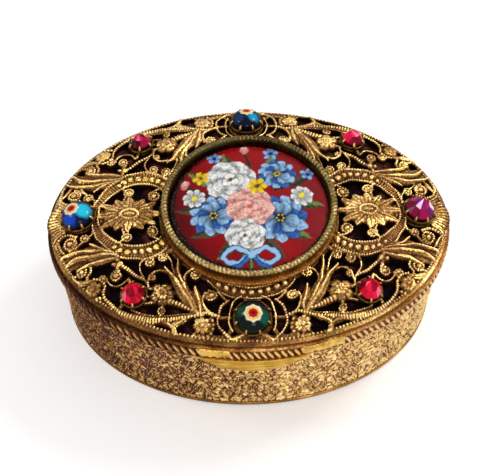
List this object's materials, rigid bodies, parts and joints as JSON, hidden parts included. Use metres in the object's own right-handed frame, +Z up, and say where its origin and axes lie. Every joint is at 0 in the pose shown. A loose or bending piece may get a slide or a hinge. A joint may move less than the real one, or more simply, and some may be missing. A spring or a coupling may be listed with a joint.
{
  "type": "snuff box",
  "caption": "Oval gilt metal snuff box with a hinged, pierced and domed lid, a round enamel medallion and set stones.",
  "frame": {"origin": "centre of the oval's flat underside, where the box stands", "axes": "+X along the length to the right, +Y to the hinge at the back, +Z up out of the lid"},
  "size_m": [0.0912, 0.0706, 0.0353],
  "materials": {
    "gilt_brass": "worn antique gilt",
    "aged_brass": "tarnished",
    "dark_backing": "dark plum satin",
    "velvet": "short velvet pile",
    "card": "plain card",
    "enamel": "glossy crimson enamel painted with flowers",
    "green_glass": "polished cabochon with a flower inside",
    "blue_glass": "polished cabochon with a flower inside",
    "turquoise_glass": "polished cabochon with a flower inside",
    "purple_glass": "faceted",
    "red_glass": "faceted"
  },
  "bodies": {
    "body": {"bottom_plate": "aged_brass", "body_wall": "gilt_brass", "base_bead": "gilt_brass", "body_top_bead": "gilt_brass", "inner_liner": "gilt_brass", "wall_lining": "velvet", "floor_lining_pad": "velvet", "hinge_leaf_body": "aged_brass", "hinge_pin": "aged_brass"},
    "lid": {"lid_skirt": "aged_brass", "lid_rope_band": "gilt_brass", "thumb_lip": "gilt_brass", "lid_pierced_plate": "gilt_brass", "lid_backing_sheet": "dark_backing", "lid_lining_pad": "velvet", "hinge_leaf_lid": "aged_brass", "medallion_bezel": "gilt_brass", "medallion_packing_card": "card", "enamel_disc": "enamel", "setting_front": "gilt_brass", "setting_back": "gilt_brass", "setting_left": "gilt_brass", "setting_right": "gilt_brass", "setting_front_left": "gilt_brass", "setting_front_right": "gilt_brass", "setting_back_left": "gilt_brass", "setting_back_right": "gilt_brass", "stone_front": "green_glass", "stone_back": "blue_glass", "stone_left": "turquoise_glass", "stone_right": "purple_glass", "stone_front_left": "red_glass", "stone_front_right": "red_glass", "stone_back_left": "red_glass", "stone_back_right": "red_glass"}
  },
  "joints": [
    {"name": "lid_hinge", "type": "hinge", "parent": "body", "child": "lid", "pos_m": [0, 0.0349, 0.02315], "axis": [-1, 0, 0], "range_deg": [0, 100]}
  ]
}
